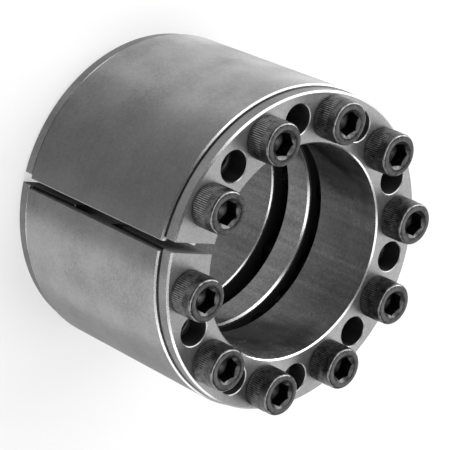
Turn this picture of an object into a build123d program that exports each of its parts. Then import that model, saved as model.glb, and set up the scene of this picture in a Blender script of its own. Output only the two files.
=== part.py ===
from build123d import *
import math
import os

# Shaft locking assembly: a slit outer ring with a double inner taper, a front and a rear slit
# taper ring, and a circle of socket head cap screws that draw the two taper rings together.
# Millimetres. +Z runs along the shaft axis towards the screw heads. The origin is the centre of
# the rear face, on which the part stands. The slits face -Y.

# Driving dimensions of the fit
shaft_d = 80.0            # bore of the taper rings, grips the shaft
hub_d = 120.0             # outer ring, seats in the hub
section = (hub_d - shaft_d) / 2

# Diameters that go with them
web_bore_d = shaft_d + 0.6    # middle web of the outer ring, just clear of the shaft
rim_d = hub_d - 2.0           # rims of the two taper rings
taper_mouth_d = hub_d - 5.0   # inner taper of the outer ring, at each end face
bolt_circle_d = (shaft_d + hub_d) / 2 - 0.5

# Lengths along the axis, from the rear face forward
rear_rim_len = 4.5        # rim of the rear ring, behind the outer ring
rear_gap = 0.8            # between that rim and the outer ring
outer_len = 73.5          # outer ring
front_gap = 0.6           # between the outer ring and the front rim
front_rim_len = 4.8       # rim of the front ring
rear_ring_len = 28.0      # rear ring, rim and taper together
front_ring_len = 29.6     # front ring, rim and taper together
web_len = 11.4            # web at the middle of the outer ring
screw_tip_z = 4.2         # screw tips, in from the rear face

# Tapers
taper_slope = 0.05        # change of radius per millimetre of length, 1 in 10 on the diameter
taper_clearance = 0.05    # between mating tapers, on the radius

# Slits
slit_w = 3.7
slit_angle = 270.0        # of the two taper rings, in degrees about +Z
outer_slit_turn = 1.1     # how far the outer ring's slit stands off the other two, in degrees
slit_edge = 0.35          # bevel along the outer edges of a slit

# Screws, in the proportions of standard socket head cap screws
screw_count = 10
screw_d = section / 2
screw_tip_bevel = 0.12 * screw_d
head_d = 1.6 * screw_d
head_h = screw_d
head_collar_d = head_d - 0.3      # plain part of the head above the knurl
knurl_h = 0.64 * head_h           # height of the knurled band's upper edge above the seat
head_base_bevel = 0.5
head_top_bevel = 0.7
socket_af = 0.8 * screw_d         # hexagon across its flats
socket_depth = 0.55 * screw_d
socket_lead = 0.06 * screw_d      # how far the conical lead-in stands outside the hexagon's corners
socket_point_deg = 120.0          # full angle of the drill point under the hexagon
socket_turns = [10.0, 58.0, 12.0, 52.0, 12.0, 16.0, 36.0, 2.0, 36.0, 16.0]   # screw by screw, in degrees

# Holes
thread_clearance = 0.05           # between a screw and its tapped hole, on the radius
clear_hole_d = 1.14 * screw_d     # screw holes, and the plain push-off holes of the front ring
push_mouth_depth = 0.8 * screw_d  # plain mouth of a push-off hole that is tapped in the front ring
hole_bevel = 0.35
tapped_bevel = 0.75

# Edge bevels of the rings
rim_bevel = 0.65
hub_bevel = 0.55
bore_bevel = 0.5
web_front_bevel = 0.7
small_bevel = 0.3

# Levels and radii that follow
outer_z0 = rear_rim_len + rear_gap
outer_z1 = outer_z0 + outer_len
front_rim_z0 = outer_z1 + front_gap
front_z = front_rim_z0 + front_rim_len
front_ring_z0 = front_z - front_ring_len
web_z0 = (outer_z0 + outer_z1 - web_len) / 2
web_z1 = web_z0 + web_len
shaft_r = shaft_d / 2
hub_r = hub_d / 2
rim_r = rim_d / 2
web_bore_r = web_bore_d / 2
bolt_circle_r = bolt_circle_d / 2
screw_r = screw_d / 2
screw_len = front_z - screw_tip_z
clear_hole_r = clear_hole_d / 2
tapped_r = screw_r + thread_clearance
pitch_angle = 360.0 / screw_count
overshoot = 1.0           # how far a cutter runs past the face that it cuts


def mouth_radius(depth):
    """Radius of the outer ring's inner taper, at a depth inside its end face."""
    return taper_mouth_d / 2 - taper_slope * depth


def plug_radius(depth):
    """Radius of a taper ring at the same place, clear of the outer ring."""
    return mouth_radius(depth) - taper_clearance


def turned(corners):
    """Solid of revolution about the Z axis, from corners given as (radius, height)."""
    outline = make_face(Polyline(*corners, close=True))
    return revolve(Plane.XZ * outline, axis=Axis.Z)


def at_angle(radius, degrees, z=0.0):
    """Place on a circle about the axis."""
    turn = math.radians(degrees)
    return Pos(radius * math.cos(turn), radius * math.sin(turn), z)


def screw_angles():
    """Angles of the screws, counted from the slit; the slit lies midway between two of them."""
    first = slit_angle + pitch_angle / 2
    return [first + pitch_angle * i for i in range(screw_count)]


def push_off_angles():
    """Angles of the empty holes, midway between screws. The slit takes the place of one."""
    return [slit_angle + pitch_angle * i for i in range(1, screw_count)]


def hole(radius, z0, z1, bevel0=0.0, bevel1=0.0):
    """Cutter for a round hole from z0 to z1, with a bevelled mouth at either end."""
    low = z0 - overshoot
    high = z1 + overshoot
    corners = [(0, low)]
    if bevel0 > 0:
        corners += [(radius + bevel0 + overshoot, low), (radius, z0 + bevel0)]
    else:
        corners += [(radius, low)]
    if bevel1 > 0:
        corners += [(radius, z1 - bevel1), (radius + bevel1 + overshoot, high)]
    else:
        corners += [(radius, high)]
    corners += [(0, high)]
    return turned(corners)


def slit(outer_radius, degrees, z0, z1):
    """Cutter for a straight-sided slit from the axis outwards, bevelled at its outer edges."""
    half = slit_w / 2
    start = outer_radius - slit_edge
    end = outer_radius + overshoot
    flare = half + slit_edge + overshoot
    corners = [(0, -half), (start, -half), (end, -flare), (end, flare), (start, half), (0, half)]
    outline = make_face(Polyline(*corners, close=True))
    block = extrude(outline, amount=z1 - z0 + 2 * overshoot)
    return Rot(0, 0, degrees) * Pos(0, 0, z0 - overshoot) * block


def make_outer_ring():
    """Slit ring with a taper in each end and a web between them that the screws pass through."""
    depth = web_z0 - outer_z0
    mouth_r = mouth_radius(0)
    web_side_r = mouth_radius(depth)
    body = turned([
        (mouth_r + small_bevel, outer_z0),
        (hub_r - hub_bevel, outer_z0),
        (hub_r, outer_z0 + hub_bevel),
        (hub_r, outer_z1 - hub_bevel),
        (hub_r - hub_bevel, outer_z1),
        (mouth_r + small_bevel, outer_z1),
        (mouth_radius(small_bevel), outer_z1 - small_bevel),
        (web_side_r, web_z1),
        (web_bore_r + web_front_bevel, web_z1),
        (web_bore_r, web_z1 - web_front_bevel),
        (web_bore_r, web_z0 + small_bevel),
        (web_bore_r + small_bevel, web_z0),
        (web_side_r, web_z0),
        (mouth_radius(small_bevel), outer_z0 + small_bevel),
    ])
    for angle in screw_angles():
        body -= at_angle(bolt_circle_r, angle) * hole(clear_hole_r, web_z0, web_z1)
    for angle in push_off_angles()[1::2]:
        body -= at_angle(bolt_circle_r, angle) * hole(tapped_r, web_z0, web_z1, 0, hole_bevel)
    body -= slit(hub_r, slit_angle + outer_slit_turn, outer_z0, outer_z1)
    return body


def make_front_ring():
    """Slit taper ring with a rim, holes for the screws and push-off holes between them."""
    rim_depth = outer_z1 - front_rim_z0
    end_depth = outer_z1 - front_ring_z0
    body = turned([
        (shaft_r + small_bevel, front_ring_z0),
        (plug_radius(end_depth) - small_bevel, front_ring_z0),
        (plug_radius(end_depth - small_bevel), front_ring_z0 + small_bevel),
        (plug_radius(rim_depth), front_rim_z0),
        (rim_r - small_bevel, front_rim_z0),
        (rim_r, front_rim_z0 + small_bevel),
        (rim_r, front_z - rim_bevel),
        (rim_r - rim_bevel, front_z),
        (shaft_r + bore_bevel, front_z),
        (shaft_r, front_z - bore_bevel),
        (shaft_r, front_ring_z0 + small_bevel),
    ])
    for angle in screw_angles():
        body -= at_angle(bolt_circle_r, angle) * hole(clear_hole_r, front_ring_z0, front_z)
    # The mouth's cutter starts one overshoot up, so that it ends level with the mouth's floor
    mouth_start = front_z - push_mouth_depth + overshoot
    for angle in push_off_angles()[0::2]:
        place = at_angle(bolt_circle_r, angle)
        body -= place * hole(tapped_r, front_ring_z0, front_z)
        body -= place * hole(clear_hole_r, mouth_start, front_z, 0, hole_bevel)
    for angle in push_off_angles()[1::2]:
        body -= at_angle(bolt_circle_r, angle) * hole(clear_hole_r, front_ring_z0, front_z, 0, hole_bevel)
    body -= slit(rim_r, slit_angle, front_ring_z0, front_z)
    return body


def make_rear_ring():
    """Slit taper ring with a rim and the tapped holes that take the screws."""
    rim_depth = outer_z0 - rear_rim_len
    end_depth = rear_ring_len - outer_z0
    body = turned([
        (shaft_r + bore_bevel, 0),
        (rim_r - rim_bevel, 0),
        (rim_r, rim_bevel),
        (rim_r, rear_rim_len - small_bevel),
        (rim_r - small_bevel, rear_rim_len),
        (plug_radius(-rim_depth), rear_rim_len),
        (plug_radius(end_depth - small_bevel), rear_ring_len - small_bevel),
        (plug_radius(end_depth) - small_bevel, rear_ring_len),
        (shaft_r + bore_bevel, rear_ring_len),
        (shaft_r, rear_ring_len - bore_bevel),
        (shaft_r, bore_bevel),
    ])
    for angle in screw_angles():
        body -= at_angle(bolt_circle_r, angle) * hole(tapped_r, 0, rear_ring_len, tapped_bevel, hole_bevel)
    body -= slit(rim_r, slit_angle, 0, rear_ring_len)
    return body


def make_socket():
    """Cutter for the hexagon socket, mouth at height 0, with its lead-in and drill point."""
    corner_r = socket_af / 2 / math.cos(math.radians(30))
    lead_r = corner_r + socket_lead
    point_h = socket_af / 2 / math.tan(math.radians(socket_point_deg / 2))
    hexagon = extrude(RegularPolygon(corner_r, 6), amount=-(socket_depth + overshoot))
    lead = turned([
        (0, -lead_r + socket_af / 2),
        (socket_af / 2, -lead_r + socket_af / 2),
        (lead_r, 0),
        (lead_r, overshoot),
        (0, overshoot),
    ])
    point = turned([(0, -socket_depth - point_h), (socket_af / 2, -socket_depth), (0, -socket_depth)])
    return Pos(0, 0, overshoot) * hexagon + lead + point


def make_screw():
    """Socket head cap screw, seat of the head at height 0, head upwards."""
    head_r = head_d / 2
    collar_r = head_collar_d / 2
    body = turned([
        (0, -screw_len),
        (screw_r - screw_tip_bevel, -screw_len),
        (screw_r, -screw_len + screw_tip_bevel),
        (screw_r, 0),
        (head_r - head_base_bevel, 0),
        (head_r, head_base_bevel),
        (head_r, knurl_h),
        (collar_r, knurl_h + head_r - collar_r),
        (collar_r, head_h - head_top_bevel),
        (collar_r - head_top_bevel, head_h),
        (0, head_h),
    ])
    return body - Pos(0, 0, head_h) * make_socket()


def socket_turn(index):
    """Turn of a screw about its own axis, in degrees: each one stopped where it was tight."""
    return socket_turns[index % len(socket_turns)]


os.makedirs("parts", exist_ok=True)
export_step(make_rear_ring(), "parts/rear_ring.step")
export_step(make_outer_ring(), "parts/outer_ring.step")
export_step(make_front_ring(), "parts/front_ring.step")
screw = make_screw()
for index, angle in enumerate(screw_angles()):
    placed = at_angle(bolt_circle_r, angle, front_z) * Rot(0, 0, socket_turn(index)) * screw
    export_step(placed, f"parts/socket_screw_{index + 1:02d}.step")
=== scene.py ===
import math

import bmesh
import bpy
from mathutils import Matrix, Vector


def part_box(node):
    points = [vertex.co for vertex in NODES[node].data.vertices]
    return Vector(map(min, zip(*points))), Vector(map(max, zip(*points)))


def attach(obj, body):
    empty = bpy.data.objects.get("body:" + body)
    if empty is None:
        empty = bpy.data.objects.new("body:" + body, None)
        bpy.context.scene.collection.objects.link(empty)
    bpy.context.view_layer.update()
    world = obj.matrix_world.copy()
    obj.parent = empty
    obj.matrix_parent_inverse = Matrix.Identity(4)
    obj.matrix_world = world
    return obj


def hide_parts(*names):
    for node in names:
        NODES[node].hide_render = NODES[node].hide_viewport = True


# Looks of the shaft locking assembly: turned steel rings, black oxide socket screws with knurled
# heads and real threads. Lengths in millimetres until they reach a mesh, which is in metres.

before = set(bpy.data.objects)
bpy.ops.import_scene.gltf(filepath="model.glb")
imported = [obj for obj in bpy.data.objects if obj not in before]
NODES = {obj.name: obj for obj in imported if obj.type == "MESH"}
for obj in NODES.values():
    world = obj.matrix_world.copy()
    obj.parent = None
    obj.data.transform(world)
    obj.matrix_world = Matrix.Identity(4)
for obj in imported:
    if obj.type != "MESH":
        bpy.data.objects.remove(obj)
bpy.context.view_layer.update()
MM = 0.001

# Screws
SCREW_COUNT = 10
HEAD_H = 10.0
HEAD_R = 8.0
COLLAR_R = 7.85
EDGE_FILLET = 1.0
FILLET_STEPS = 8
SEAT_R = 7.5
SEAT_HOLE_R = 6.0
KNURL_TEETH = 66
KNURL_SHAPE = (0.0, 0.42, 0.88, 1.0, 0.88, 0.42)
KNURL_DEPTH = 0.26
KNURL_TOP = 6.4
HEX_AF = 8.0
HEX_DEPTH = 5.5
HEX_TURNS = (10.0, 58.0, 12.0, 52.0, 12.0, 16.0, 36.0, 2.0, 36.0, 16.0)
LEAD_R = 5.22
LEAD_DEG = 36.0
LEAD_DROP = 0.05
DRILL_TIP_R = 0.4
DRILL_TIP_DEG = 60.0
SHANK_R = 5.0
SCREW_LEN = 80.0
PITCH = 1.5
THREAD_LEN = 32.0
RUN_OUT_TURNS = 1.5
TIP_BEVEL = 1.2
TURN_STEPS = 44
CIRCLE_R = 49.75
INTERNAL_OUTER = 5.04
SHARP_DEG = 32

# Places on the rings where the steel looks different. Pairs are the two ends of a soft step.
BORE_ZONE_R = 41.5
BEVEL_SPLIT_R = 45.0
FACE_Z = 84.1
RIM_R = (58.8, 59.2)
OUTSIDE_R = 58.5
HOLE_EDGE = (5.73, 5.85)
MOUTH_EDGE = (6.1, 6.3)
SLIT_PLACE_X = 8.0
SLIT_EDGE = (1.87, 1.92)
SLIT_HIGHLIGHT_EDGE = (-2.22, -2.16)
ZONE_BLEND = 0.8
ZONE_OUTER = (58.8, 59.0)
LAP_SIZE = 3.0

# Looks of those places: greys are base colours between 0 and 1
SLIT_GREY = 0.2
SLIT_ROUGHER = 0.25
RIM_TONE = 0.82
# Painted shade: near black for the holes and the spaces between the rings
PAINTED_SHADE_GREY = 0.022
# Painted highlights: pale greys for the bevels and for a line along one side of the slit
BEVEL_HIGHLIGHT_INSIDE = 0.78
BEVEL_HIGHLIGHT_OUTSIDE = 0.53
SLIT_HIGHLIGHT_SHARE = 0.8
MOUTH_DULL = 0.45
CUT_ROUGHNESS = 0.27
BORE_POLISH = 0.24

# Places and looks of a screw, in its own frame
KNURL_GAP = (7.76, 7.88)
KNURL_GAP_FOOT_R = 7.7
KNURL_TOOTH = (7.9, 7.99)
# A band of the rounded edge painted bright, as wear and as painted highlight
WORN_HIGHLIGHT_FROM = (9.66, 9.74)
WORN_HIGHLIGHT_TO = (9.88, 9.94)
WORN_HIGHLIGHT_R = 6.0
SOCKET_MOUTH = (8.8, 9.3)
SOCKET_R = 4.75
SOCKET_FLOOR = (4.4, 4.55)
# Painted shade: the top face of a head is made darker than its sides
TOP_SHADE_TONE = 0.38
OXIDE_BLACK = (0.035, 0.035, 0.036, 1.0)
OXIDE_PALE = (0.125, 0.125, 0.126, 1.0)
# Painted shade: the darkest grey, in the knurl's gaps and on the socket's walls
PAINTED_SHADE_DARK = 0.02
# Wear and painted highlight: the grey of the knurl's teeth and the rounded edge
WORN_HIGHLIGHT_GREY = 0.34

# Tapped holes
PUSH_OFF_MOUTH = 8.0
WEB_Z0 = 36.35
WEB_THREAD_LEN = 11.05
REAR_THREAD_Z0 = 0.75
REAR_THREAD_LEN = 12.0
THREAD_TURN = 40.0

# Floor, world and lamps. FLOOR_WHITE is the floor's share that is plain white wherever it is seen.
FLOOR_WHITE = 0.5
FLOOR_GREY = 0.9
FLOOR_R = 4.0
FLOOR_DROP = 0.2
WORLD_STRENGTH = 0.1
LAMP_AIM = (0, 0, 45)
LAMP_DISTANCE = 0.9
# Name, azimuth, elevation, width, height and radiance. Radiance 1 looks plain white.
LAMPS = (
    ("left_far", 130.0, 25.0, 0.55, 0.8, 4.0),
    ("left_near", 174.0, 25.0, 0.85, 0.8, 2.35),
    ("right_near", 323.0, 12.0, 0.75, 0.48, 4.3),
    ("right_far", 4.0, 14.0, 0.65, 0.45, 2.1),
    ("back", 76.0, 37.0, 0.5, 0.7, 3.1),
    ("front_left", 200.0, 54.0, 0.42, 0.4, 2.2),
    ("front_right", 307.0, 54.0, 0.5, 0.35, 2.4),
    ("overhead", 255.0, 86.0, 0.42, 0.42, 2.5),
)

# Camera: the direction that it looks from and its roll, in degrees. Its place is counted from the
# centre of the front face, to its own right, up and back.
CAMERA_AZIMUTH = 254.912
CAMERA_ELEVATION = 43.754
CAMERA_ROLL = 114.329
CAMERA_PLACE = (-25.013, 9.771, 747.751)
CAMERA_LENS = 169.89
CAMERA_SENSOR = 36.0
FRONT_FACE_CENTRE = (0, 0, 84.2)


def softbox(name, azimuth, elevation, width, height, radiance):
    """Area lamp at an azimuth and elevation about the part, turned to face it."""
    a = math.radians(azimuth)
    e = math.radians(elevation)
    away = Vector((math.cos(a) * math.cos(e), math.sin(a) * math.cos(e), math.sin(e)))
    data = bpy.data.lights.new(name, "AREA")
    data.shape = "RECTANGLE"
    data.size = width
    data.size_y = height
    data.energy = radiance * math.pi * width * height
    lamp = bpy.data.objects.new(name, data)
    bpy.context.scene.collection.objects.link(lamp)
    lamp.location = Vector(LAMP_AIM) * MM + away * LAMP_DISTANCE
    lamp.rotation_euler = away.to_track_quat("Z", "Y").to_euler()
    lamp.visible_camera = False


def new_object(name, mesh):
    obj = bpy.data.objects.new(name, mesh)
    bpy.context.scene.collection.objects.link(obj)
    return obj


def finish_mesh(bm, name):
    """Mesh from a bmesh in millimetres, doubles merged, smooth but for its sharp edges."""
    bmesh.ops.remove_doubles(bm, verts=bm.verts, dist=1e-4)
    bmesh.ops.dissolve_degenerate(bm, edges=bm.edges, dist=1e-4)
    bmesh.ops.recalc_face_normals(bm, faces=bm.faces)
    bmesh.ops.scale(bm, vec=(MM, MM, MM), verts=bm.verts)
    mesh = bpy.data.meshes.new(name)
    bm.to_mesh(mesh)
    bm.free()
    mesh.shade_smooth()
    mesh.set_sharp_from_angle(angle=math.radians(SHARP_DEG))
    return mesh


def add_ring(bm, points):
    return [bm.verts.new(p) for p in points]


def bridge(bm, low, high):
    """Quads between two closed rings of as many vertices."""
    n = len(low)
    for i in range(n):
        j = (i + 1) % n
        bm.faces.new((low[i], low[j], high[j], high[i]))


def cap(bm, ring, centre):
    middle = bm.verts.new(centre)
    n = len(ring)
    for i in range(n):
        bm.faces.new((ring[i], ring[(i + 1) % n], middle))


def thread_profile(breaks, steps_between):
    """Points (share of the pitch, radius) along one turn of thread, flanks divided."""
    points = []
    for i, (t0, r0) in enumerate(breaks):
        t1, r1 = breaks[i + 1] if i + 1 < len(breaks) else (breaks[0][0] + 1.0, breaks[0][1])
        n = steps_between if r0 != r1 else 1
        for k in range(n):
            points.append((t0 + (t1 - t0) * k / n, r0 + (r1 - r0) * k / n))
    return points


EXTERNAL = thread_profile([(0.0, 4.08), (0.25, 4.08), (0.5625, 5.0), (0.6875, 5.0)], 2)
INTERNAL = thread_profile([(-0.0374, 4.25), (0.2874, 4.25), (0.5557, 5.04), (0.6943, 5.04)], 2)


def helix_columns(bm, profile, z0, z1, radius_at, shift=0.0):
    """Columns of vertices over a helical thread from z0 to z1. radius_at trims the profile's radius."""
    turns = int(math.ceil((z1 - z0) / PITCH)) + 3
    columns = []
    for j in range(TURN_STEPS):
        share = j / TURN_STEPS
        c = math.cos(2 * math.pi * share)
        s = math.sin(2 * math.pi * share)
        column = []
        for n in range(-2, turns):
            for t, r in profile:
                z = min(max(z0 + shift + PITCH * (n + t + share), z0), z1)
                radius = radius_at(z, r)
                column.append(bm.verts.new((radius * c, radius * s, z)))
        columns.append(column)
    return columns


def helix_faces(bm, columns, per_turn):
    """Quads over the columns. The last column joins the first one a whole turn further up."""
    rows = len(columns[0])
    for j in range(TURN_STEPS):
        here = columns[j]
        wrap = j + 1 == TURN_STEPS
        there = columns[0] if wrap else columns[j + 1]
        shift = per_turn if wrap else 0
        for i in range(rows - 1):
            a = min(i + shift, rows - 1)
            b = min(i + 1 + shift, rows - 1)
            corners = [here[i], there[a]]
            if b != a:
                corners.append(there[b])
            corners.append(here[i + 1])
            bm.faces.new(corners)


def screw_mesh():
    """Socket head cap screw with its seat at height 0, in its own frame."""
    bm = bmesh.new()
    n = KNURL_TEETH * len(KNURL_SHAPE)
    angles = [2 * math.pi * i / n for i in range(n)]
    knurl = [HEAD_R - KNURL_DEPTH * (1 - KNURL_SHAPE[i % len(KNURL_SHAPE)]) for i in range(n)]
    sixth = math.pi / 3
    hexagon = [HEX_AF / 2 / math.cos((a % sixth) - sixth / 2) for a in angles]

    def ring(radii, heights):
        pts = []
        for i, a in enumerate(angles):
            r = radii[i] if isinstance(radii, list) else radii
            z = heights[i] if isinstance(heights, list) else heights
            pts.append((r * math.cos(a), r * math.sin(a), z))
        return add_ring(bm, pts)

    rings = [ring(SEAT_HOLE_R, 0.0), ring(SEAT_R, 0.0)]
    rings.append(ring(knurl, [r - SEAT_R for r in knurl]))
    rings.append(ring(knurl, KNURL_TOP - 0.12))
    rings.append(ring(COLLAR_R, KNURL_TOP + 0.1))
    for k in range(FILLET_STEPS + 1):
        a = math.pi / 2 * k / FILLET_STEPS
        fillet_r = COLLAR_R - EDGE_FILLET * (1 - math.cos(a))
        rings.append(ring(fillet_r, HEAD_H - EDGE_FILLET * (1 - math.sin(a))))
    rings.append(ring(LEAD_R + 0.1, HEAD_H))
    rings.append(ring(LEAD_R, HEAD_H - LEAD_DROP))
    slope = math.tan(math.radians(LEAD_DEG))
    rings.append(ring(hexagon, [HEAD_H - LEAD_DROP - (LEAD_R - h) * slope for h in hexagon]))
    rings.append(ring(hexagon, HEAD_H - HEX_DEPTH))
    rings.append(ring(HEX_AF / 2 - 0.1, HEAD_H - HEX_DEPTH))
    point_drop = (HEX_AF / 2 - 0.5) / math.tan(math.radians(DRILL_TIP_DEG))
    rings.append(ring(DRILL_TIP_R, HEAD_H - HEX_DEPTH - point_drop))
    for low, high in zip(rings, rings[1:]):
        bridge(bm, low, high)
    cap(bm, rings[-1], (0, 0, HEAD_H - HEX_DEPTH - point_drop - 0.2))

    # Shank, joined to the seat by wedges of many vertices each
    shank = []
    for j in range(TURN_STEPS):
        a = 2 * math.pi * j / TURN_STEPS
        shank.append(bm.verts.new((SHANK_R * math.cos(a), SHANK_R * math.sin(a), 0.0)))
    per = n // TURN_STEPS
    for j in range(TURN_STEPS):
        outer = [rings[0][(j * per + k) % n] for k in range(per + 1)]
        bm.faces.new([shank[j]] + outer + [shank[(j + 1) % TURN_STEPS]])

    # Thread over the lower end, running out into the plain shank and bevelled at the tip
    tip = -SCREW_LEN
    end = tip + THREAD_LEN
    root = EXTERNAL[0][1]

    def trim(z, r):
        r = min(r, SHANK_R - TIP_BEVEL + (z - tip))
        fade = (z - (end - PITCH * RUN_OUT_TURNS)) / (PITCH * RUN_OUT_TURNS)
        return max(r, root + (SHANK_R - root) * fade) if fade > 0 else r

    columns = helix_columns(bm, EXTERNAL, tip, end, trim)
    helix_faces(bm, columns, len(EXTERNAL))
    bridge(bm, [c[-1] for c in columns], shank)
    cap(bm, [c[0] for c in columns], (0, 0, tip))
    return finish_mesh(bm, "socket_screw")


def internal_thread(bm, place, turn, z0, z1, shift):
    """Sleeve that carries a tapped hole's thread, standing in the plain hole of the solid."""
    part = bmesh.new()

    def trim(z, r):
        return max(r, INTERNAL_OUTER - (z - z0), INTERNAL_OUTER - (z1 - z))

    columns = helix_columns(part, INTERNAL, z0, z1, trim, shift)
    helix_faces(part, columns, len(INTERNAL))
    bridge(part, [c[0] for c in columns], [c[-1] for c in columns])
    matrix = Matrix.Translation(place) @ Matrix.Rotation(math.radians(turn), 4, "Z")
    bmesh.ops.transform(part, matrix=matrix, verts=part.verts)
    scratch = bpy.data.meshes.new("scratch")
    part.to_mesh(scratch)
    part.free()
    bm.from_mesh(scratch)
    bpy.data.meshes.remove(scratch)


class Tree:
    """Short hand for building a material's nodes."""

    def __init__(self, name):
        self.material = bpy.data.materials.new(name)
        self.material.use_nodes = True
        self.nodes = self.material.node_tree.nodes
        self.links = self.material.node_tree.links
        self.shader = self.nodes["Principled BSDF"]

    def node(self, kind, **settings):
        made = self.nodes.new("ShaderNode" + kind)
        for key, value in settings.items():
            setattr(made, key, value)
        return made

    def feed(self, socket, value):
        if isinstance(value, bpy.types.NodeSocket):
            self.links.new(value, socket)
        else:
            socket.default_value = value

    def math(self, operation, a, b=0.0):
        made = self.node("Math", operation=operation)
        self.feed(made.inputs[0], a)
        self.feed(made.inputs[1], b)
        return made.outputs[0]

    def times(self, first, *others):
        """Product of two or more values."""
        product = first
        for value in others:
            product = self.math("MULTIPLY", product, value)
        return product

    def combine(self, x, y, z):
        made = self.node("CombineXYZ")
        for socket, value in zip(made.inputs, (x, y, z)):
            self.feed(socket, value)
        return made.outputs[0]

    def noise(self, vector, scale, detail, roughness):
        """Noise with its scale per metre."""
        made = self.node("TexNoise")
        self.feed(made.inputs["Vector"], vector)
        made.inputs["Scale"].default_value = scale
        made.inputs["Detail"].default_value = detail
        made.inputs["Roughness"].default_value = roughness
        return made.outputs["Fac"]

    def remap(self, value, low, high, to_low, to_high):
        made = self.node("MapRange", clamp=True)
        self.feed(made.inputs["Value"], value)
        made.inputs["From Min"].default_value = low
        made.inputs["From Max"].default_value = high
        made.inputs["To Min"].default_value = to_low
        made.inputs["To Max"].default_value = to_high
        return made.outputs["Result"]

    def rise(self, value, ends):
        """0 to 1 between two ends in millimetres."""
        return self.remap(value, ends[0] * MM, ends[1] * MM, 0.0, 1.0)

    def fall(self, value, ends):
        """1 to 0 between two ends in millimetres."""
        return self.remap(value, ends[0] * MM, ends[1] * MM, 1.0, 0.0)

    def above(self, value, limit):
        """1 where the value is above a limit in millimetres, else 0."""
        return self.math("GREATER_THAN", value, limit * MM)

    def below(self, value, limit):
        """1 where the value is below a limit in millimetres, else 0."""
        return self.math("LESS_THAN", value, limit * MM)

    def mix_color(self, factor, a, b, blend="MIX"):
        made = self.node("Mix", data_type="RGBA", blend_type=blend)
        self.feed(made.inputs[0], factor)
        self.feed(made.inputs[6], a)
        self.feed(made.inputs[7], b)
        return made.outputs[2]

    def bump(self, height, distance, strength=1.0, normal=None):
        made = self.node("Bump")
        self.feed(made.inputs["Strength"], strength)
        made.inputs["Distance"].default_value = distance
        self.feed(made.inputs["Height"], height)
        if normal is not None:
            self.feed(made.inputs["Normal"], normal)
        return made.outputs["Normal"]

    def position(self):
        """Object coordinates as a vector, with x, y, z and the distance from the Z axis."""
        vector = self.node("TexCoord").outputs["Object"]
        split = self.node("SeparateXYZ")
        self.feed(split.inputs[0], vector)
        x, y, z = split.outputs
        square = self.math("ADD", self.times(x, x), self.times(y, y))
        return vector, x, y, z, self.math("SQRT", square)


def grey(value):
    return (value, value, value, 1.0)


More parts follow.
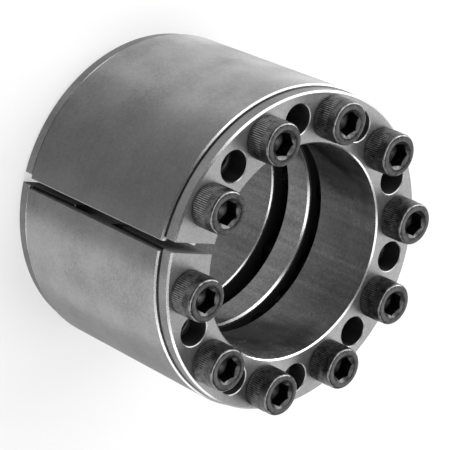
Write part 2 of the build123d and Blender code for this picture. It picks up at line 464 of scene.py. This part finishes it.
def turned_steel(name, low, high, bore_light_tone, slit_turn, shade_zone, seed):
    """Lathe-turned steel: rings of fine tool marks round the axis, with cloudy handling marks.
    Holes and the dark zone (inner radius, lower and upper level) are painted near black as shade, each
    bore is painted lighter or darker for how it is lit and carries painted light streaks, the walls
    of the slit are dull grey, and the bevels and one edge of the slit are painted bright as highlights."""
    t = Tree(name)
    _, x, y, z, radius = t.position()

    # Bare steel: tool marks that run round the axis, clouds and specks
    along = t.math("ADD", t.math("ADD", z, radius), seed)
    lap = t.times(t.math("DIVIDE", x, radius), LAP_SIZE * MM)
    side = t.times(t.math("DIVIDE", y, radius), LAP_SIZE * MM)
    marks = t.combine(lap, side, along)
    fine = t.noise(marks, 3200.0, 2.0, 0.6)
    band = t.noise(marks, 600.0, 3.0, 0.55)
    shifted = t.combine(t.math("ADD", x, seed), y, z)
    cloud = t.noise(shifted, 48.0, 5.0, 0.62)
    speck = t.noise(shifted, 1100.0, 3.0, 0.65)
    tone = t.math("ADD", t.times(band, 0.14), t.times(cloud, 0.86))
    tone = t.math("ADD", tone, t.times(t.math("SUBTRACT", speck, 0.5), 0.5))
    bare = t.mix_color(t.remap(tone, 0.33, 0.67, 0.0, 1.0), grey(low), grey(high))

    # Painted light and shade in the bores: each ring's bore is made lighter or darker for how it is lit,
    # with painted light streaks along it and specks
    in_bore = t.times(t.below(radius, BORE_ZONE_R), t.below(z, FACE_Z))
    streak = t.noise(t.combine(x, y, t.times(z, 0.05)), 330.0, 3.0, 0.6)
    bore_streak_light = t.times(t.remap(streak, 0.3, 0.7, 0.82, 1.22), t.remap(speck, 0.3, 0.7, 0.9, 1.1))
    bore_light_color = t.mix_color(1.0, grey(bore_light_tone), bore_streak_light, "MULTIPLY")
    bore_painted_light = t.mix_color(in_bore, grey(1.0), bore_light_color)
    bare = t.mix_color(1.0, bare, bore_painted_light, "MULTIPLY")

    # The holes stand on one circle, and the slit where one of them would be
    sector = math.pi / SCREW_COUNT
    phase = t.math("DIVIDE", t.math("ARCTAN2", y, x), sector)
    off = t.times(t.math("SUBTRACT", phase, t.math("ROUND", phase)), sector)
    out = t.math("SUBTRACT", t.times(radius, t.math("COSINE", off)), CIRCLE_R * MM)
    across = t.times(radius, t.math("SINE", off))
    from_hole = t.math("SQRT", t.math("ADD", t.times(out, out), t.times(across, across)))
    elsewhere = t.math("MAXIMUM", t.above(t.math("ABSOLUTE", x), SLIT_PLACE_X), t.above(y, 0.0))
    in_hole = t.times(t.fall(from_hole, HOLE_EDGE), elsewhere)
    by_hole = t.times(t.fall(from_hole, MOUTH_EDGE), MOUTH_DULL, elsewhere)

    # The slit, and a painted highlight: a bright line along one side of it
    lean = math.radians(slit_turn)
    from_slit = t.math("ADD", t.times(x, math.cos(lean)), t.times(y, math.sin(lean)))
    slit_half = t.below(y, 0.0)
    in_slit = t.times(t.fall(t.math("ABSOLUTE", from_slit), SLIT_EDGE), slit_half)
    slit_highlight_end = (-SLIT_EDGE[1], -SLIT_EDGE[0])
    slit_edge_highlight = t.times(t.rise(from_slit, SLIT_HIGHLIGHT_EDGE), t.fall(from_slit, slit_highlight_end))
    slit_edge_highlight = t.times(slit_edge_highlight, slit_half, t.above(radius, OUTSIDE_R))

    # Painted shade: the holes and the spaces between the rings are painted near black and made dull
    zone_r, zone_z0, zone_z1 = shade_zone
    in_shade_zone = t.times(t.rise(radius, (zone_r, zone_r + ZONE_BLEND)), t.fall(radius, ZONE_OUTER))
    in_shade_zone = t.times(in_shade_zone, t.above(z, zone_z0), t.below(z, zone_z1))
    in_shade_zone = t.times(in_shade_zone, t.math("SUBTRACT", 1.0, in_slit))
    painted_shade = t.math("MAXIMUM", in_hole, in_shade_zone)

    # The side of the rims is turned finer, and mirrors more
    on_rim = t.times(t.below(radius, RIM_R[1]), t.above(radius, RIM_R[0]), t.below(z, FACE_Z))

    # Bevels: neither along the axis nor square to it, weaker at the holes. Their much paler grey is a
    # painted highlight; they are also smoother
    facing = t.node("SeparateXYZ")
    t.feed(facing.inputs[0], t.node("NewGeometry").outputs["Normal"])
    tilt = t.math("ABSOLUTE", facing.outputs[2])
    bevel = t.times(t.remap(tilt, 0.3, 0.5, 0.0, 1.0), t.remap(tilt, 0.85, 0.95, 1.0, 0.0))
    bevel = t.times(bevel, t.math("SUBTRACT", 1.0, t.math("MAXIMUM", in_hole, by_hole)))
    flat = t.math("SUBTRACT", 1.0, bevel)

    # Colour
    dull = t.mix_color(speck, grey(SLIT_GREY * 0.5), grey(SLIT_GREY * 1.5))
    rim_color = t.mix_color(1.0, bare, grey(RIM_TONE), "MULTIPLY")
    color = t.mix_color(in_slit, t.mix_color(on_rim, bare, rim_color), dull)
    # Painted shade: the holes and the spaces between the rings near black
    color = t.mix_color(painted_shade, color, grey(PAINTED_SHADE_GREY))
    # Painted highlights: the bevels and the line along one side of the slit
    bright = t.math("MAXIMUM", bevel, t.times(slit_edge_highlight, SLIT_HIGHLIGHT_SHARE))
    inside = t.below(radius, BEVEL_SPLIT_R)
    bevel_highlight = t.mix_color(inside, grey(BEVEL_HIGHLIGHT_OUTSIDE), grey(BEVEL_HIGHLIGHT_INSIDE))
    t.feed(t.shader.inputs["Base Color"], t.mix_color(bright, color, bevel_highlight))

    # Shine
    wear = t.math("ADD", t.times(cloud, 0.8), t.times(band, 0.2))
    satin = t.remap(wear, 0.35, 0.65, 0.45, 0.54)
    sharp = t.times(t.math("SUBTRACT", CUT_ROUGHNESS, satin), t.math("MAXIMUM", bevel, on_rim))
    satin = t.math("SUBTRACT", satin, t.times(in_bore, t.times(flat, BORE_POLISH)))
    rough = t.math("ADD", satin, t.math("ADD", sharp, t.times(in_slit, SLIT_ROUGHER)))
    t.feed(t.shader.inputs["Roughness"], rough)
    # The painted shade and the walls of the slit are made not metallic
    dull_part = t.math("MAXIMUM", painted_shade, t.times(in_slit, 0.9))
    t.feed(t.shader.inputs["Metallic"], t.math("SUBTRACT", 1.0, dull_part))
    t.shader.inputs["Specular IOR Level"].default_value = 0.1
    t.feed(t.shader.inputs["Anisotropic"], t.remap(tilt, 0.3, 0.6, 1.0, 0.45))
    t.shader.inputs["Anisotropic Rotation"].default_value = 0.25
    tangent = t.node("Tangent", direction_type="RADIAL", axis="Z")
    t.feed(t.shader.inputs["Tangent"], tangent.outputs[0])

    # Relief of the tool marks
    lines = t.math("ADD", t.times(fine, 0.5), band)
    first = t.bump(lines, 0.000005, t.times(flat, 0.5))
    t.feed(t.shader.inputs["Normal"], t.bump(speck, 0.000004, t.times(flat, 0.4), first))
    return t.material


def black_oxide(name):
    """Black oxide on steel, oiled: near black, satin, mottled. Painted bright on the knurl's teeth and
    the rounded edge, as wear and as painted highlight; painted shade on the top face, in the knurl's
    gaps and in the socket.
    """
    t = Tree(name)
    _, x, y, z, radius = t.position()
    own = t.times(t.node("ObjectInfo").outputs["Random"], 0.5)
    moved = t.combine(t.math("ADD", x, own), t.math("ADD", y, own), z)
    mottle = t.noise(moved, 520.0, 4.0, 0.65)
    cloud = t.noise(moved, 110.0, 3.0, 0.6)
    rings = t.noise(t.combine(t.times(x, 0.05), t.times(y, 0.05), radius), 2600.0, 2.0, 0.5)
    grain = t.noise(moved, 1500.0, 3.0, 0.6)
    tone = t.math("ADD", t.times(mottle, 0.5), t.times(cloud, 0.25))
    tone = t.math("ADD", tone, t.times(grain, 0.25))
    oxide = t.mix_color(t.remap(tone, 0.4, 0.6, 0.0, 1.0), OXIDE_BLACK, OXIDE_PALE)
    # Painted shade: the top face darker than the sides, for how brightly it is lit
    on_top = t.above(z, HEAD_H - 0.04)
    oxide = t.mix_color(1.0, oxide, t.mix_color(on_top, grey(1.0), grey(TOP_SHADE_TONE)), "MULTIPLY")

    # The knurl: painted shade between its teeth, and bright along them as wear and as painted highlight
    low_part = t.below(z, KNURL_TOP + 0.1)
    knurl_gap_shade = t.times(t.fall(radius, KNURL_GAP), t.above(radius, KNURL_GAP_FOOT_R), low_part)
    on_tooth = t.times(t.rise(radius, KNURL_TOOTH), low_part)
    rub_and_highlight = t.times(on_tooth, t.remap(mottle, 0.35, 0.6, 0.15, 0.7))

    # The rounded upper edge: a thin band painted bright, as wear and as painted highlight
    edge = t.times(t.rise(z, WORN_HIGHLIGHT_FROM), t.fall(z, WORN_HIGHLIGHT_TO), t.above(radius, WORN_HIGHLIGHT_R))
    worn_and_highlight = t.times(edge, t.remap(mottle, 0.38, 0.62, 0.3, 1.0))
    worn_and_highlight = t.math("MAXIMUM", worn_and_highlight, rub_and_highlight)

    # The socket: its walls painted darkest as shade, its floor a little less dark
    in_socket = t.times(t.fall(z, SOCKET_MOUTH), t.below(radius, SOCKET_R), t.above(z, 0.0))
    socket_floor = t.mix_color(mottle, grey(0.03), grey(0.09))
    socket_color = t.mix_color(t.fall(z, SOCKET_FLOOR), grey(PAINTED_SHADE_DARK), socket_floor)

    color = t.mix_color(knurl_gap_shade, oxide, grey(PAINTED_SHADE_DARK))
    color = t.mix_color(in_socket, color, socket_color)
    color = t.mix_color(worn_and_highlight, color, grey(WORN_HIGHLIGHT_GREY))
    t.feed(t.shader.inputs["Base Color"], color)
    t.feed(t.shader.inputs["Roughness"], t.remap(tone, 0.35, 0.65, 0.24, 0.36))
    t.shader.inputs["Metallic"].default_value = 0.9
    first = t.bump(rings, 0.000012, 0.35)
    t.feed(t.shader.inputs["Normal"], t.bump(mottle, 0.000025, 0.5, first))
    return t.material


def tapped_steel(name):
    """Cut threads: bare steel, painted darker than the turned faces as shade inside the holes, and
    duller.
    """
    t = Tree(name)
    vector = t.position()[0]
    cloud = t.noise(vector, 350.0, 3.0, 0.6)
    t.feed(t.shader.inputs["Base Color"], t.mix_color(cloud, grey(0.04), grey(0.08)))
    t.feed(t.shader.inputs["Roughness"], t.remap(cloud, 0.3, 0.7, 0.28, 0.42))
    t.shader.inputs["Metallic"].default_value = 0.4
    t.shader.inputs["Specular IOR Level"].default_value = 0.15
    t.feed(t.shader.inputs["Normal"], t.bump(cloud, 0.00002, 0.4))
    return t.material


def paint(obj, material):
    obj.data.materials.clear()
    obj.data.materials.append(material)


# Camera, at the photograph's place
camera_data = bpy.data.cameras.new("camera")
camera_data.sensor_width = CAMERA_SENSOR
camera_data.lens = CAMERA_LENS
camera_data.dof.use_dof = False
camera = bpy.data.objects.new("camera", camera_data)
bpy.context.scene.collection.objects.link(camera)
camera.matrix_world = (
    Matrix.Translation(Vector(FRONT_FACE_CENTRE) * MM)
    @ Matrix.Rotation(math.radians(CAMERA_AZIMUTH + 90.0), 4, "Z")
    @ Matrix.Rotation(math.radians(90.0 - CAMERA_ELEVATION), 4, "X")
    @ Matrix.Rotation(math.radians(CAMERA_ROLL), 4, "Z")
    @ Matrix.Translation(Vector(CAMERA_PLACE) * MM)
)
bpy.context.scene.camera = camera

# Rings: grey from and to, painted light tone of the bore, degrees that the slit is turned, painted shade
# zone and seed
ring_steel = {
    "rear_ring": turned_steel("rear_ring_steel", 0.18, 0.29, 0.87, 0.0, (40.7, 4.8, 30.0), 1.7),
    "outer_ring": turned_steel("outer_ring_steel", 0.193, 0.31, 1.32, 1.1, (41.15, 5.6, 78.5), 4.1),
    "front_ring": turned_steel("front_ring_steel", 0.20, 0.31, 0.88, 0.0, (40.7, 54.0, 79.2), 2.3),
}
for node, material in ring_steel.items():
    paint(NODES[node], material)

# Screws
screw_steel = black_oxide("screw_black_oxide")
screw_data = screw_mesh()
screw_data.materials.append(screw_steel)
seats = []
for index in range(SCREW_COUNT):
    node = f"socket_screw_{index + 1:02d}"
    low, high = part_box(node)
    seat = Vector(((low.x + high.x) / 2, (low.y + high.y) / 2, high.z - HEAD_H * MM))
    seats.append(seat)
    screw = new_object(f"screw_{index + 1:02d}_detailed", screw_data.copy())
    turn = Matrix.Rotation(math.radians(HEX_TURNS[index]), 4, "Z")
    screw.matrix_world = Matrix.Translation(seat) @ turn
    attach(screw, f"screw_{index + 1:02d}")
    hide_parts(node)
    paint(NODES[node], screw_steel)

# Threads of the tapped holes
thread_steel = tapped_steel("tapped_thread_steel")
front_low, front_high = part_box("front_ring")
tip_z = (seats[0].z / MM) - SCREW_LEN


def push_off_place(number, z):
    """Place of an empty hole on the screw circle, counted from the slit at 270 degrees."""
    a = math.radians(270.0 + 36.0 * number)
    return Vector((CIRCLE_R * math.cos(a), CIRCLE_R * math.sin(a), z))


def thread_piece(name, body, holes):
    """One mesh of thread sleeves. Each hole is (place, turn, length). They match the screws' threads."""
    bm = bmesh.new()
    for place, turn, length in holes:
        internal_thread(bm, place, turn, 0.0, length, (tip_z - place.z) % PITCH)
    piece = new_object(name, finish_mesh(bm, name))
    piece.data.materials.append(thread_steel)
    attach(piece, body)


front_z = front_high.z / MM
front_z0 = front_low.z / MM
front_thread_len = front_z - PUSH_OFF_MOUTH - front_z0
thread_piece("front_ring_push_off_threads", "front_ring",
             [(push_off_place(n, front_z0), THREAD_TURN * n, front_thread_len) for n in (1, 3, 5, 7, 9)])
thread_piece("web_push_off_threads", "outer_ring",
             [(push_off_place(n, WEB_Z0), THREAD_TURN * n, WEB_THREAD_LEN) for n in (2, 4, 6, 8)])
thread_piece("rear_ring_threads", "rear_ring",
             [(Vector((seat.x / MM, seat.y / MM, REAR_THREAD_Z0)), turn, REAR_THREAD_LEN)
              for seat, turn in zip(seats, HEX_TURNS)])

# Floor and light
floor_data = bpy.data.meshes.new("floor")
floor_bm = bmesh.new()
bmesh.ops.create_circle(floor_bm, cap_ends=True, radius=FLOOR_R, segments=64)
floor_bm.to_mesh(floor_data)
floor_bm.free()
floor = new_object("floor", floor_data)
floor.location.z = -FLOOR_DROP * MM
floor_tree = Tree("floor_paper")
floor_tree.shader.inputs["Base Color"].default_value = grey(FLOOR_GREY)
floor_tree.shader.inputs["Roughness"].default_value = 0.9
floor_tree.shader.inputs["Specular IOR Level"].default_value = 0.1
path = floor_tree.node("LightPath")
seen = floor_tree.math("MAXIMUM", path.outputs["Is Camera Ray"], path.outputs["Is Glossy Ray"])
seen = floor_tree.math("MAXIMUM", seen, path.outputs["Is Transmission Ray"])
white = floor_tree.node("Emission")
white.inputs["Strength"].default_value = 1.0
blend = floor_tree.node("MixShader")
floor_tree.feed(blend.inputs[0], floor_tree.math("MULTIPLY", seen, FLOOR_WHITE))
floor_tree.feed(blend.inputs[1], floor_tree.shader.outputs[0])
floor_tree.feed(blend.inputs[2], white.outputs[0])
output = floor_tree.nodes["Material Output"]
floor_tree.feed(output.inputs["Surface"], blend.outputs[0])
floor_data.materials.append(floor_tree.material)

world = bpy.data.worlds.new("studio")
bpy.context.scene.world = world
world.use_nodes = True
world.node_tree.nodes["Background"].inputs["Color"].default_value = grey(1.0)
world.node_tree.nodes["Background"].inputs["Strength"].default_value = WORLD_STRENGTH

for lamp_values in LAMPS:
    softbox(*lamp_values)

bpy.context.scene.view_settings.view_transform = "Standard"
